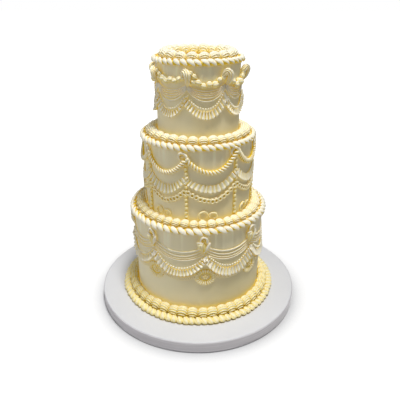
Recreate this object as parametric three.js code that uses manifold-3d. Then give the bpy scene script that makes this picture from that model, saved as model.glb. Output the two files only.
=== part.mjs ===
/**
 * A three-tier wedding cake, piped all over in the Victorian manner, on its drum board.
 *
 * Three round tiers of smooth buttercream stand on each other. Each has a slanted rope
 * round its top edge and a ring of shells where the tier above meets it; the top tier
 * carries a crown of large shells. The walls are hung with eight bays of swags between
 * eight anchors: beads, strings and a ruffle at the top, rope, ruffle and lace in the
 * middle, a ruffle and lace at the bottom. A ribbon goes round the drum's edge.
 *
 * Millimetres, +Z up. The origin is the centre of the drum's underside, and the front
 * faces -Y. Azimuths are in degrees, 0 at the front and growing towards +X.
 */
import * as THREE from "three";
import { mergeVertices } from "three/addons/utils/BufferGeometryUtils.js";
import Module from "manifold-3d";

const wasm = await Module();
wasm.setup();

// ---- driving dimensions ----

const GAP = 0.4; // clearance between pieces that touch
const WALL_SEGMENTS = 36;

const drum = { radius: 203, height: 24, edge: 1.2 };
const ribbon = { thickness: 0.6, lift: 0.6, height: 22.8 };

const BAYS = 8;
const tiers = {
  bottom: { radius: 127.5, height: 183, anchors: anchorsAround([-83, -38.5, 6, 50.5]) },
  middle: { radius: 102, height: 144, anchors: anchorsAround([-56, -11.7, 39.5, 84]) },
  top: { radius: 75.5, height: 133, anchors: anchorsAround([-62, -14, 35.5, 82]) },
};
tiers.bottom.base = drum.height;
tiers.middle.base = tiers.bottom.base + tiers.bottom.height;
tiers.top.base = tiers.middle.base + tiers.middle.height;
for (const tier of Object.values(tiers)) tier.crest = tier.base + tier.height;

const rope = { chamfer: 9, overhang: 5, rise: 6, slant: 0.85 };

const icing = new THREE.MeshStandardMaterial({ color: 0xe3d9b4, roughness: 0.55, metalness: 0 });
const piping = new THREE.MeshStandardMaterial({ color: 0xf4e8bf, roughness: 0.5, metalness: 0 });
const board = new THREE.MeshStandardMaterial({ color: 0xeceaec, roughness: 0.35, metalness: 0 });
const satin = new THREE.MeshStandardMaterial({ color: 0xb4b0b8, roughness: 0.35, metalness: 0.4 });

// ---- places round the cake ----

/** Eight azimuths: the ones at the front as given, the rest spread evenly round the back. */
function anchorsAround(front) {
  const last = front[front.length - 1];
  const hidden = BAYS - front.length;
  const step = (front[0] + 360 - last) / (hidden + 1);
  return [...front, ...Array.from({ length: hidden }, (_, i) => last + step * (i + 1))];
}

/** A point at an azimuth, a distance from the axis and a height. */
function around(azimuth, radius, z) {
  const a = THREE.MathUtils.degToRad(azimuth);
  return new THREE.Vector3(radius * Math.sin(a), -radius * Math.cos(a), z);
}

/** The azimuth at a share t of a bay, which ends at the next anchor. */
function azimuthInBay(anchors, bay, t) {
  const next = bay + 1 < BAYS ? anchors[bay + 1] : anchors[0] + 360;
  return anchors[bay] + (next - anchors[bay]) * t;
}

/** The height of a swag at a share t of its bay: high at both ends, low in the middle. */
function swag(t, ends, low, power) {
  return low + (ends - low) * Math.abs(2 * t - 1) ** power;
}

/** A repeatable unevenness from -1 to 1, as a hand makes it. */
function uneven(index, seed) {
  const wave = Math.sin(index * 12.9898 + seed * 78.233) * 43758.5453;
  return 2 * (wave - Math.floor(wave)) - 1;
}

// ---- geometry ----

/** The faces of a grid of points: rows closed on themselves, and joined in a loop or capped. */
function gridGeometry(rows, closed) {
  const across = rows[0].length;
  const index = [];
  const joints = closed ? rows.length : rows.length - 1;
  for (let u = 0; u < joints; u++) {
    const here = u * across;
    const next = ((u + 1) % rows.length) * across;
    for (let v = 0; v < across; v++) {
      const w = (v + 1) % across;
      index.push(here + v, here + w, next + v, next + v, here + w, next + w);
    }
  }
  const last = (rows.length - 1) * across;
  for (let v = 1; !closed && v < across - 1; v++) {
    index.push(0, v + 1, v, last, last + v, last + v + 1);
  }
  const geometry = new THREE.BufferGeometry().setFromPoints(rows.flat());
  geometry.setIndex(index);
  geometry.computeVertexNormals();
  return geometry;
}

/** A ring round the cake. sectionAt(station) gives [azimuth, radius, z] points, inner ones first. */
function ringGeometry(stations, sectionAt) {
  const rows = Array.from({ length: stations }, (_, station) =>
    sectionAt(station).map((point) => around(...point)),
  );
  return gridGeometry(rows, true);
}

/** A ring through the eight bays: sectionAt(t, station) gives [radius, z] points. */
function bayRing(anchors, stationsPerBay, sectionAt) {
  return ringGeometry(BAYS * stationsPerBay, (station) => {
    const bay = Math.floor(station / stationsPerBay);
    const t = (station % stationsPerBay) / stationsPerBay;
    const azimuth = azimuthInBay(anchors, bay, t);
    return sectionAt(t, station).map(([radius, z]) => [azimuth, radius, z]);
  });
}

/** A solid of revolution about the Z axis, from [radius, z] points that start and end on it. */
function turned(profile) {
  const points = profile.map(([radius, z]) => new THREE.Vector2(radius, z));
  return new THREE.LatheGeometry(points, WALL_SEGMENTS).rotateX(Math.PI / 2);
}

/** A closed geometry as a manifold solid. */
function toSolid(geometry) {
  const bare = new THREE.BufferGeometry();
  bare.setAttribute("position", geometry.getAttribute("position"));
  bare.setIndex(geometry.index);
  const merged = mergeVertices(bare, 1e-3);
  return new wasm.Manifold(
    new wasm.Mesh({
      numProp: 3,
      vertProperties: merged.attributes.position.array,
      triVerts: new Uint32Array(merged.index.array),
    }),
  );
}

/** A manifold solid as a geometry. */
function toGeometry(solid) {
  const made = solid.getMesh();
  const geometry = new THREE.BufferGeometry();
  geometry.setAttribute("position", new THREE.BufferAttribute(made.vertProperties, 3));
  geometry.setIndex(new THREE.BufferAttribute(made.triVerts, 1));
  geometry.computeVertexNormals();
  return geometry;
}

// ---- drum and tiers ----

const cake = new THREE.Group();

function addPiece(name, geometry, material) {
  const mesh = new THREE.Mesh(geometry, material);
  mesh.name = name;
  cake.add(mesh);
  return mesh;
}

function drumGeometry() {
  const { radius, height, edge } = drum;
  return turned([[0, 0], [radius, 0], [radius, height - edge], [radius - edge, height], [0, height]]);
}

function ribbonGeometry() {
  const inner = drum.radius + GAP;
  const outer = inner + ribbon.thickness;
  const foot = ribbon.lift;
  const head = foot + ribbon.height;
  return turned([[inner, foot], [outer, foot], [outer, head], [inner, head], [inner, foot]]);
}

/** A tier's smooth body, its top edge cut back where the rope sits. The lowest rests on the drum. */
function tierGeometry({ radius, base, crest }) {
  const foot = base + GAP;
  return turned([
    [0, foot],
    [radius, foot],
    [radius, crest - rope.chamfer],
    [radius - rope.chamfer, crest],
    [0, crest],
  ]);
}

// ---- borders ----

/**
 * A ring of shells on a ledge. Each swells from its low tail to a round head, then dips
 * where the next one starts. A small shell is a plain ridge, a large one has a brow too.
 */
function shellRing({ count, samples, inner, outer, floor, height, seed, small = false }) {
  const width = outer - inner;
  const tail = 0.56; // the tail's height as a share of the head's
  const crestShare = small ? 0.36 : 0.24;
  return ringGeometry(count * samples, (station) => {
    const shell = Math.floor(station / samples);
    const phase = (station % samples) / samples;
    const size = 1 + 0.05 * uneven(shell, seed);
    const swell = (tail + (1 - tail) * Math.sin(Math.PI * phase ** 0.75)) * size;
    const azimuth = (station / (count * samples)) * 360;
    const reach = inner + width * (0.62 + 0.38 * swell);
    const brow = small ? [] : [[azimuth, reach, floor + 0.5 * height * swell]];
    return [
      [azimuth, inner, floor],
      [azimuth, inner + crestShare * width, floor + height * swell],
      ...brow,
      [azimuth, reach - 0.08 * width, floor],
    ];
  });
}

/** The slanted rope over a tier's top edge: each stroke starts on the ledge and leans down the wall. */
function rimRope({ radius, crest }, count, seed) {
  const lean = (360 / count) * rope.slant;
  return ringGeometry(count * 2, (station) => {
    const azimuth = (station / (count * 2)) * 360;
    const ridge = station % 2 === 0 ? 1 + 0.12 * uneven(station, seed) : 0.4;
    const foot = crest - rope.chamfer + GAP + 2.5 * (1 - Math.min(ridge, 1));
    return [
      [azimuth, radius - rope.chamfer + 2 * GAP, crest + GAP],
      [azimuth + 0.5 * lean, radius + rope.overhang * ridge * 0.6, crest + rope.rise * ridge * 0.7],
      [azimuth + lean, radius + 2 * GAP, foot],
    ];
  });
}

/** The outer row on the board: short strokes side by side, pointing away from the cake. */
function strokeRing({ count, inner, outer, floor, height, seed }) {
  return ringGeometry(count * 2, (station) => {
    const azimuth = (station / (count * 2)) * 360;
    const ridge = station % 2 === 0 ? 1 + 0.1 * uneven(station, seed) : 0.62;
    const reach = inner + (outer - inner) * (0.75 + 0.25 * ridge);
    return [
      [azimuth, inner, floor],
      [azimuth, inner + 0.45 * (outer - inner), floor + height * ridge],
      [azimuth, reach, floor],
    ];
  });
}

// ---- wall piping ----

/** A line of piping on the wall, as thick as sizeAt(station) says, following heightAt(t). */
function pipedLine(anchors, radius, stationsPerBay, heightAt, sizeAt) {
  const wall = radius + GAP;
  return bayRing(anchors, stationsPerBay, (t, station) => {
    const size = sizeAt(station);
    const z = heightAt(t);
    return [
      [wall, z - size],
      [wall, z + size],
      [wall + 1.7 * size, z],
    ];
  });
}

/** Ruffled swags: a pleated frill whose upper edge is on the wall and whose hem stands off it. */
function ruffleRing({ radius, anchors }, { pleats, head, hem, flare }) {
  const wall = radius + GAP;
  return bayRing(anchors, pleats * 2, (t, station) => {
    const fold = station % 2 === 0 ? 0.45 : 1;
    const top = swag(t, head.ends, head.low, head.power);
    const bottom = swag(t, hem.ends, hem.low, hem.power);
    return [
      [wall, bottom],
      [wall, top],
      [wall + flare * fold, bottom + (1 - fold) * 2],
    ];
  });
}

/** A flat-backed drop of piping: a spine of [height, distance from the wall, radius] stops, tail first. */
function dropGeometry(spine, back) {
  const SIDES = 6;
  const rows = spine.map(([height, stand, radius]) =>
    Array.from({ length: SIDES }, (_, i) => {
      const a = (i / SIDES) * 2 * Math.PI;
      const out = Math.max(stand + radius * Math.sin(a), back);
      return new THREE.Vector3(-radius * Math.cos(a), -out, height);
    }),
  );
  return gridGeometry(rows, false);
}

/** A wall ornament at each anchor of a tier, at a height above the tier's foot. */
function addOrnaments(prefix, tier, height, geometry) {
  tier.anchors.forEach((azimuth, i) => {
    const mesh = addPiece(`${prefix}_${i + 1}`, geometry, piping);
    mesh.position.copy(around(azimuth, tier.radius, tier.base + height));
    mesh.rotation.z = THREE.MathUtils.degToRad(azimuth);
  });
}

// ---- top tier: beads, puffs and a ruffle ----

function addTopPiping(tier) {
  const stations = 14;
  const thread = 0.6;
  const beadHeight = (t) => tier.base + swag(t, 111, 98.5, 2.2);
  const beadSize = (station) => {
    const fromAnchor = Math.min(station % stations, stations - (station % stations));
    if (fromAnchor < 2) return thread;
    return station % 2 === 0 ? 2 : 3.2 + 0.4 * uneven(station, 5);
  };
  const garland = pipedLine(tier.anchors, tier.radius, stations, beadHeight, beadSize);
  addPiece("top_bead_garland", garland, piping);

  const puff = dropGeometry(
    [
      [-13, 2.6, 1.4],
      [-4, 4.2, 3.8],
      [5, 6.4, 7.2],
      [11, 6.6, 7.4],
      [15, 5.8, 4.2],
    ],
    GAP + 1.7 * thread + GAP,
  );
  addOrnaments("top_puff", tier, 108.5, puff);

  addPiece(
    "top_ruffle_swags",
    ruffleRing(tier, {
      pleats: 7,
      head: { ends: tier.base + 88, low: tier.base + 60, power: 2.6 },
      hem: { ends: tier.base + 62, low: tier.base + 42.5, power: 2.6 },
      flare: 6.5,
    }),
    piping,
  );
}

// ---- middle tier: rope swags, rosettes, a ruffle, lace and bead columns ----

/** A rosette: a low dome with a dimple where the swirl closes, its axis pointing off the wall. */
function rosetteGeometry(radius, height) {
  const profile = [
    [0, GAP],
    [radius * 0.85, GAP],
    [radius, height * 0.45],
    [radius * 0.6, height],
    [0, height * 0.8],
  ].map(([r, out]) => new THREE.Vector2(r, out));
  return new THREE.LatheGeometry(profile, 7).rotateX(Math.PI);
}

/** A column of links down the wall, wide and narrow in turn, as a bar with three sides. */
function columnGeometry({ length, links, width, back, front }) {
  const rows = Array.from({ length: links * 2 + 1 }, (_, i) => {
    const bulge = i % 2 === 0 ? 0.6 : 1;
    const z = -length * (1 - i / (links * 2));
    return [
      new THREE.Vector3((-width / 2) * bulge, -back, z),
      new THREE.Vector3(0, -back - (front - back) * bulge, z),
      new THREE.Vector3((width / 2) * bulge, -back, z),
    ];
  });
  return gridGeometry(rows, false);
}

/** The columns fused on the ruffle and the lace that they cross. */
function fuseColumns(lines, tier, column, topHeight) {
  let whole = lines.map(toSolid).reduce((sum, line) => sum.add(line));
  for (const azimuth of tier.anchors) {
    const placed = column
      .clone()
      .rotateZ(THREE.MathUtils.degToRad(azimuth))
      .translate(...around(azimuth, tier.radius, topHeight));
    whole = whole.add(toSolid(placed));
  }
  return toGeometry(whole);
}

function addMiddlePiping(tier) {
  const ropeHeight = (t) => tier.base + swag(t, 117.5, 100, 2.3);
  const garland = pipedLine(tier.anchors, tier.radius, 12, ropeHeight, () => 3.6);
  addPiece("middle_rope_garland", garland, piping);
  addOrnaments("middle_rosette", tier, 128.6, rosetteGeometry(6.5, 9));

  const ruffle = ruffleRing(tier, {
    pleats: 7,
    head: { ends: tier.base + 100, low: tier.base + 74.5, power: 2.2 },
    hem: { ends: tier.base + 80, low: tier.base + 60, power: 2.2 },
    flare: 7,
  });
  const laceHeight = (t) => tier.base + swag(t, 68, 47.5, 2.2);
  const lace = pipedLine(tier.anchors, tier.radius, 6, laceHeight, () => 2.6);
  const column = columnGeometry({ length: 98, links: 4, width: 7, back: 3 * GAP, front: 6.3 });
  addPiece("middle_ruffle_and_columns", fuseColumns([ruffle, lace], tier, column, tier.base + 112), piping);
}

// ---- bottom tier: fleurs, a ruffle and lace with pendants ----

/** A fleur: a raised three-lobed plate that runs down to a tail. */
function fleurGeometry(radius, height) {
  const POINTS = 10;
  const outline = (scale) =>
    Array.from({ length: POINTS }, (_, i) => {
      const a = (i / POINTS) * 2 * Math.PI;
      const lobe = radius * scale * (1 + 0.28 * Math.sin(3 * a + Math.PI));
      const z = lobe * Math.sin(a);
      return [lobe * Math.cos(a), z < 0 ? 1.5 * z : z];
    });
  const layer = (scale, out) => outline(scale).map(([x, z]) => new THREE.Vector3(x, -out, z));
  return gridGeometry([layer(0.9, height), layer(1, height * 0.4), layer(0.8, GAP)].reverse(), false);
}

/** Lace under the ruffle that drops in a half round, the pendant, below each anchor. */
function pendantLace(t, base) {
  const pendant = { share: 0.19, level: 93, depth: 25 };
  const nearest = Math.min(t, 1 - t);
  if (nearest >= pendant.share) return base + swag(t, 98, 79, 1.8);
  return base + pendant.level - pendant.depth * Math.sqrt(1 - (nearest / pendant.share) ** 2);
}

function addBottomPiping(tier) {
  addOrnaments("bottom_fleur", tier, 157, fleurGeometry(11, 8));
  const laceHeight = (t) => pendantLace(t, tier.base);
  const lace = pipedLine(tier.anchors, tier.radius, 11, laceHeight, () => 2.4);
  addPiece("bottom_lace_and_pendants", lace, piping);
  addPiece(
    "bottom_ruffle_swags",
    ruffleRing(tier, {
      pleats: 8,
      head: { ends: tier.base + 133, low: tier.base + 104.5, power: 2.2 },
      hem: { ends: tier.base + 115, low: tier.base + 86, power: 2.4 },
      flare: 7,
    }),
    piping,
  );
}

// ---- the cake ----

addPiece("cake_drum", drumGeometry(), board);
addPiece("drum_ribbon", ribbonGeometry(), satin);
for (const [name, tier] of Object.entries(tiers)) addPiece(`${name}_tier`, tierGeometry(tier), icing);

addPiece(
  "base_shell_border",
  shellRing({
    count: 46,
    samples: 3,
    inner: tiers.bottom.radius + GAP,
    outer: 142,
    floor: drum.height + GAP,
    height: 24,
    seed: 1,
  }),
  piping,
);
addPiece(
  "base_stroke_border",
  strokeRing({ count: 82, inner: 142.6, outer: 157.5, floor: drum.height + GAP, height: 9, seed: 2 }),
  piping,
);
addPiece(
  "bottom_ledge_shells",
  shellRing({
    count: 44,
    samples: 3,
    inner: tiers.middle.radius + GAP,
    outer: 118,
    floor: tiers.bottom.crest + GAP,
    height: 12,
    seed: 3,
    small: true,
  }),
  piping,
);
addPiece(
  "middle_ledge_shells",
  shellRing({
    count: 32,
    samples: 3,
    inner: tiers.top.radius + GAP,
    outer: 92.5,
    floor: tiers.middle.crest + GAP,
    height: 15,
    seed: 4,
    small: true,
  }),
  piping,
);
addPiece(
  "crown_shells",
  shellRing({
    count: 20,
    samples: 5,
    inner: 48,
    outer: 66,
    floor: tiers.top.crest + GAP,
    height: 16,
    seed: 6,
  }),
  piping,
);
addPiece("bottom_rim_rope", rimRope(tiers.bottom, 58, 7), piping);
addPiece("middle_rim_rope", rimRope(tiers.middle, 54, 8), piping);
addPiece("top_rim_rope", rimRope(tiers.top, 44, 9), piping);

addTopPiping(tiers.top);
addMiddlePiping(tiers.middle);
addBottomPiping(tiers.bottom);

export default cake;
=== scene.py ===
"""A three-tier wedding cake, piped all over in buttercream, on a board edged with satin ribbon.

Every border, garland, ruffle and scroll is worked out here as a surface and laid over the plain
solid that holds its place. Lengths in the makers' functions are millimetres; meshes are metres.
Azimuths are radians, 0 at the front (-Y) and growing towards +X.
"""

import math
from collections import namedtuple

import bpy
import numpy as np
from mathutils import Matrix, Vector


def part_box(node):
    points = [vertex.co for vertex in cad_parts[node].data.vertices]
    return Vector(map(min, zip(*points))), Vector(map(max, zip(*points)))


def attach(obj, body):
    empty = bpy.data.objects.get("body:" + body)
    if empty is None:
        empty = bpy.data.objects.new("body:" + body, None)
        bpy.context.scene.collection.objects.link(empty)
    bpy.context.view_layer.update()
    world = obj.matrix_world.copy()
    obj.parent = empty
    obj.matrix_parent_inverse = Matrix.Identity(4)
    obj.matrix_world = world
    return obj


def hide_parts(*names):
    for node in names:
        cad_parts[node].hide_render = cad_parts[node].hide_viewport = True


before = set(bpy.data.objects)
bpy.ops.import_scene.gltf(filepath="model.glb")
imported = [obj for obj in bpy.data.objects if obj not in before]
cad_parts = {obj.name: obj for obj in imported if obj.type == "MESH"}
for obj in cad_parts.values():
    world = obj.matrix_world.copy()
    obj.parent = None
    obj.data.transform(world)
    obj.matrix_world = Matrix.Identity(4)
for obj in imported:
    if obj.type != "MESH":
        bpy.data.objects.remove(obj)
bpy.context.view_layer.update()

MM = 0.001
TURN = 2 * math.pi
UPWARD = np.array([0.0, 0.0, 1.0])
BAYS = 8
HAND = np.random.default_rng(17)  # the piping hand's unevenness


# ---- places round the cake ----


def corners_of(solid):
    """The low and high corners of a solid's box, in millimetres."""
    return (np.array(corner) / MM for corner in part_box(solid))


class Tier:
    """A tier's measures, read from its solid, and its anchors: the azimuths of the ornaments on its
    wall, which part it into bays."""

    def __init__(self, name, ornament):
        self.name = name
        low, high = corners_of(f"{name}_tier")
        self.radius, self.base, self.crest = high[0], low[2], high[2]
        self.ornaments = [f"{ornament}_{i + 1}" for i in range(BAYS)]
        centres = [np.mean(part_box(solid), axis=0) for solid in self.ornaments]
        self.anchors = np.unwrap([math.atan2(x, -y) for x, y, _ in centres])
        following = np.append(self.anchors[1:], self.anchors[0] + TURN)
        self.widths = (following - self.anchors)[:, None] * self.radius  # each bay, along the wall

    def beside(self, across):
        """Azimuths at a distance to the right of each anchor, in millimetres along the wall."""
        return self.anchors + across / self.radius

    def bay_azimuth(self, share):
        """Azimuths (bay, sample) at shares 0 to 1 of the way from each anchor to the next."""
        return self.anchors[:, None] + self.widths / self.radius * share


def around(azimuth, radius, z):
    """Points from cylinder coordinates, in one array with x, y and z last."""
    azimuth, radius, z = np.broadcast_arrays(azimuth, radius, z)
    return np.stack([radius * np.sin(azimuth), -radius * np.cos(azimuth), z], axis=-1)


def outward(azimuth):
    """The direction straight off the wall at an azimuth."""
    return around(azimuth, 1.0, 0.0)


def by_bay(usual, uneven):
    """The same value for every bay, but for the bays in a dictionary of exceptions."""
    values = np.array([usual] * BAYS, dtype=float)
    for bay, value in uneven.items():
        values[bay] = value
    return values


def swag(share, line):
    """Height along each bay of a hanging line (ends, low, power), in millimetres above the tier's
    foot: low in the middle, rising to both ends as a power of the distance. Ends may be one height
    or a pair for each bay, and low one height or one for each bay."""
    ends, low, power = line
    left, right = np.broadcast_to(ends, (BAYS, 2)).T[..., None]
    low = np.broadcast_to(low, BAYS)[:, None]
    return low + (np.where(share < 0.5, left, right) - low) * np.abs(2 * share - 1) ** power


def raised(line, rise):
    """The same hanging line at another height."""
    ends, low, power = line
    return ends + rise, low + rise, power


def jitter(shape, amount):
    """Even random values from -amount to amount."""
    return HAND.uniform(-amount, amount, shape)


def ring_places(count, uneven):
    """Azimuths (count, 1) round the whole ring, each off its even place by a share of a step."""
    return TURN * (np.arange(count)[:, None] + jitter((count, 1), uneven)) / count


# ---- surfaces ----


# points, faces as one run of corners with their counts, and the painted shade of each point:
# its tint and how deep in a groove it is
Skin = namedtuple("Skin", "points corners counts groove")


def join(*skins):
    """Several skins as one."""
    starts = np.cumsum([0] + [len(skin.points) for skin in skins[:-1]])
    shifted = [skin._replace(corners=skin.corners + start) for skin, start in zip(skins, starts)]
    return Skin(*(np.concatenate(parts) for parts in zip(*shifted)))


def grid_skin(points, groove, closed):
    """Faces over points (copy, row, across, xyz). Rows close on themselves across, and end to end
    where closed; otherwise a flat cap shuts each end. The sign of the volume that the first copy
    holds tells which way its faces point, and they are turned outwards."""
    copies, rows, across = points.shape[:3]
    number = np.arange(rows * across).reshape(rows, across)
    following = np.roll(number, -1, axis=0) if closed else number[1:]
    here = number if closed else number[:-1]
    quads = np.stack([here, following, np.roll(following, -1, axis=1), np.roll(here, -1, axis=1)], axis=-1)
    quads = quads.reshape(-1, 4)
    a, b, c, d = (points[0].reshape(-1, 3)[quads[:, i]] for i in range(4))
    inside_out = np.sum(a * (np.cross(b, c) + np.cross(c, d))) < 0
    corners = quads.reshape(-1)
    counts = np.full(len(quads), 4)
    if not closed:
        corners = np.concatenate([corners, number[0], number[-1][::-1]])
        counts = np.append(counts, [across, across])
    if inside_out:
        corners, counts = corners[::-1], counts[::-1]
    shift = np.arange(copies)[:, None] * rows * across
    return Skin(
        points.reshape(-1, 3),
        (corners[None, :] + shift).reshape(-1),
        np.tile(counts, copies),
        np.broadcast_to(groove, points.shape[:3]).reshape(-1),
    )


def columns(*values):
    """Numbers and arrays of any shape, each spread over all the places as one column."""
    return (np.ravel(value)[:, None] for value in np.broadcast_arrays(*values))


def unit(vectors):
    """Vectors brought to length 1."""
    return vectors / np.linalg.norm(vectors, axis=-1, keepdims=True)


def full_turn(count):
    """Angles evenly round a turn."""
    return np.linspace(0, TURN, count, endpoint=False)


def section(across, hidden=0):
    """Angles round a section, from 0 at its side over the top: evenly spread, or close together
    above and with a few for the hidden underside."""
    if not hidden:
        return full_turn(across)
    first, last = -0.09, 0.59  # shares of a turn between which the outline shows
    above = np.linspace(first, last, across)
    below = np.linspace(last, first + 1, hidden + 2)[1:-1]
    return TURN * np.concatenate([above, below])


FULLY_SHADED = 0.25  # depth, as a share of the outline, from which a groove has its full painted shade


def pipe(path, up, wide, tall, angle, points=0, depth=0.0, twist=0.0, sharp=2.0, closed=False, tint=0.0):
    """Icing squeezed along paths (copy, row, xyz): an ellipse, half as wide and tall as given at each
    row, square to the path, its top towards up. A star nozzle cuts its outline with valleys, each
    (half + half cosine) to a power, and twist turns them along the path. The valleys are painted in
    shade as far as they are deep. A tint adds painted shade to the whole piece, or to some angles of
    its outline; below 0 it holds the painted shade back and keeps the piece pale."""
    if closed:
        along = unit(np.roll(path, -1, axis=1) - np.roll(path, 1, axis=1))
    else:
        along = unit(np.gradient(path, axis=1))
    side = unit(np.cross(along, up))
    lift = np.cross(side, along)
    share = np.linspace(0, 1, path.shape[1])[:, None]
    valley = (0.5 + 0.5 * np.cos(points * angle + TURN * np.asarray(twist) * share)) ** sharp
    valley = valley * (points > 0)
    outline = 1 - depth * valley
    wide, tall = (np.broadcast_to(size, path.shape[:2])[..., None] for size in (wide, tall))
    skin = (
        path[:, :, None]
        + side[:, :, None] * (wide * outline * np.cos(angle))[..., None]
        + lift[:, :, None] * (tall * outline * np.sin(angle))[..., None]
    )
    return grid_skin(skin, tint + valley * np.minimum(1.0, np.asarray(depth) / FULLY_SHADED), closed)


def steps(count):
    """Shares 0 to 1, closer together at both ends, where a piped shape rounds off."""
    return (1 - np.cos(np.linspace(0, math.pi, count))) / 2


def teardrop(share, head, tail):
    """Thickness along a shell: a quarter circle up to its head, then a cosine down to its tail,
    whose tip rounds off."""
    tip = 0.06
    rise = np.sqrt(np.clip(1 - ((head - share) / head) ** 2, 0.0004, 1))
    fall = tail + (1 - tail) * (0.5 + 0.5 * np.cos(math.pi * (share - head) / (1 - head)))
    shut = np.sqrt(np.clip((1 - share) / tip, 0.002, 1))
    return np.where(share < head, rise, fall * shut)


def bend(share, start, middle, end):
    """A quadratic curve through three controls, in whatever coordinates they have."""
    share = share[:, None]
    return (1 - share) ** 2 * start + 2 * share * (1 - share) * middle + share**2 * end


# ---- pieces ----


OVERHEAD = np.array([0.1, -0.25, 0.96], dtype=np.float32)  # the way most of the light comes from
TURNING_AWAY = 0.3  # cosine to overhead below which icing is painted in shade
UNDERSIDE = 0.75  # how much painted shade for every 1 that the cosine falls


def put(name, data):
    """An object for some data, in the scene."""
    thing = bpy.data.objects.new(name, data)
    bpy.context.collection.objects.link(thing)
    return thing


def paint(thing, label, values):
    """A value at every point of a piece, for its material to read."""
    attribute = thing.data.attributes.new(label, "FLOAT", "POINT")
    attribute.data.foreach_set("value", np.ravel(values).astype(np.float32))


def piece(name, skin, material, slot, *nodes):
    """A skin as an object that stands for the named solids. Where it faces away from overhead, its
    groove value is raised, so that the undersides of strokes and folds are painted in shade."""
    mesh = bpy.data.meshes.new(name)
    mesh.vertices.add(len(skin.points))
    mesh.vertices.foreach_set("co", (skin.points * MM).ravel())
    mesh.loops.add(len(skin.corners))
    mesh.loops.foreach_set("vertex_index", skin.corners.astype(np.int32))
    mesh.polygons.add(len(skin.counts))
    starts = np.concatenate([[0], np.cumsum(skin.counts)[:-1]])
    mesh.polygons.foreach_set("loop_start", starts.astype(np.int32))
    mesh.update(calc_edges=True)
    mesh.polygons.foreach_set("use_smooth", np.ones(len(skin.counts), dtype=bool))
    normals = np.empty(3 * len(skin.points), dtype=np.float32)
    mesh.vertex_normals.foreach_get("vector", normals)
    turned_away = np.clip(TURNING_AWAY - normals.reshape(-1, 3) @ OVERHEAD, 0, 1)
    mesh.materials.append(material)
    thing = put(name, mesh)
    paint(thing, "groove", skin.groove + UNDERSIDE * turned_away)
    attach(thing, "root")
    if nodes:
        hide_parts(*nodes)
    return thing


def piped(name, skin, *nodes):
    """A piece of piped buttercream."""
    return piece(name, skin, PIPED_CREAM, "piped_buttercream", *nodes)


# ---- finishes ----


def node_group(name, inputs, outputs):
    """An empty shader group with sockets given as name: kind, and what leads in and out of it."""
    group = bpy.data.node_groups.new(name, "ShaderNodeTree")
    for direction, sockets in (("INPUT", inputs), ("OUTPUT", outputs)):
        for label, kind in sockets.items():
            group.interface.new_socket(label, in_out=direction, socket_type=f"NodeSocket{kind}")
    return group, group.nodes.new("NodeGroupInput").outputs, group.nodes.new("NodeGroupOutput").inputs


def node(tree, kind, links=None, **settings):
    """A node with its settings, and its inputs as values or as sockets to link from."""
    made = tree.nodes.new(f"ShaderNode{kind}")
    for label, value in settings.items():
        setattr(made, label, value)
    for label, value in (links or {}).items():
        if isinstance(value, bpy.types.NodeSocket):
            tree.links.new(value, made.inputs[label])
        else:
            made.inputs[label].default_value = value
    return made


def mixed(tree, share, first, second):
    """A colour between two, by a share. The node's sockets for these are numbers 0, 6 and 7."""
    return node(tree, "Mix", {0: share, 6: first, 7: second}, data_type="RGBA").outputs[2]


def maths(tree, operation, first, second, clamp=False):
    """What an operation makes of two values."""
    return node(tree, "Math", {0: first, 1: second}, operation=operation, use_clamp=clamp).outputs[0]


CREAM_COLOURS = ("Cream", "Butter", "Gold")


def cream_shade_group():
    """Painted shade for cream: it turns butter yellow and then deep gold where its folds close in on
    it, and the gold also gives a painted glow. Depth runs from 0 in the open to 1: what hides the
    surface, between two limits, and what its grooves add."""
    inputs = dict.fromkeys(CREAM_COLOURS, "Color")
    inputs |= dict.fromkeys(("Open", "From", "To", "Groove", "Groove Share"), "Float")
    group, ins, outs = node_group("painted_cream_shade", inputs, {"Color": "Color", "Painted Glow": "Color"})
    hidden = maths(group, "SUBTRACT", 1.0, ins["Open"])
    hidden = node(group, "MapRange", {"Value": hidden, "From Min": ins["From"], "From Max": ins["To"]})
    grooved = maths(group, "MULTIPLY", ins["Groove"], ins["Groove Share"])
    deep = maths(group, "ADD", hidden.outputs["Result"], grooved, clamp=True)
    near = maths(group, "MULTIPLY", deep, 2.0, clamp=True)
    far = maths(group, "SUBTRACT", maths(group, "MULTIPLY", deep, 2.0), 1.0, clamp=True)
    butter = mixed(group, near, ins["Cream"], ins["Butter"])
    group.links.new(mixed(group, far, butter, ins["Gold"]), outs["Color"])
    group.links.new(mixed(group, deep, (0, 0, 0, 1), ins["Gold"]), outs["Painted Glow"])
    return group


def hand_finish_group():
    """Unevenness left by the hand: a low roll with fine pores over it, and a soft mottle."""
    inputs = {"Vector": "Vector", "Roll": "Float", "Pores": "Float"}
    group, ins, outs = node_group("hand_finish", inputs, {"Height": "Float", "Mottle": "Float"})
    pore_height = 0.3  # against the roll's 1
    roll = node(group, "TexNoise", {"Vector": ins["Vector"], "Scale": ins["Roll"], "Detail": 3.0})
    pores = node(group, "TexNoise", {"Vector": ins["Vector"], "Scale": ins["Pores"], "Detail": 2.0})
    fine = maths(group, "MULTIPLY", pores.outputs["Fac"], pore_height)
    group.links.new(maths(group, "ADD", roll.outputs["Fac"], fine), outs["Height"])
    group.links.new(roll.outputs["Fac"], outs["Mottle"])
    return group


def new_material(name, settings):
    """A material with one principled shader and its plain settings, and the place on the object."""
    material = bpy.data.materials.new(name)
    material.use_nodes = True
    tree = material.node_tree
    shader = tree.nodes["Principled BSDF"]
    for label, value in settings.items():
        shader.inputs[label].default_value = value
    return material, tree, shader, node(tree, "TexCoord").outputs["Object"]


def surface(tree, shader, colour, height, strength, distance):
    """Gives a shader its colour and its relief, a height that bumps it within a distance in metres."""
    relief = node(tree, "Bump", {"Height": height, "Strength": strength, "Distance": distance})
    tree.links.new(colour, shader.inputs["Base Color"])
    tree.links.new(relief.outputs["Normal"], shader.inputs["Normal"])


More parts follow.
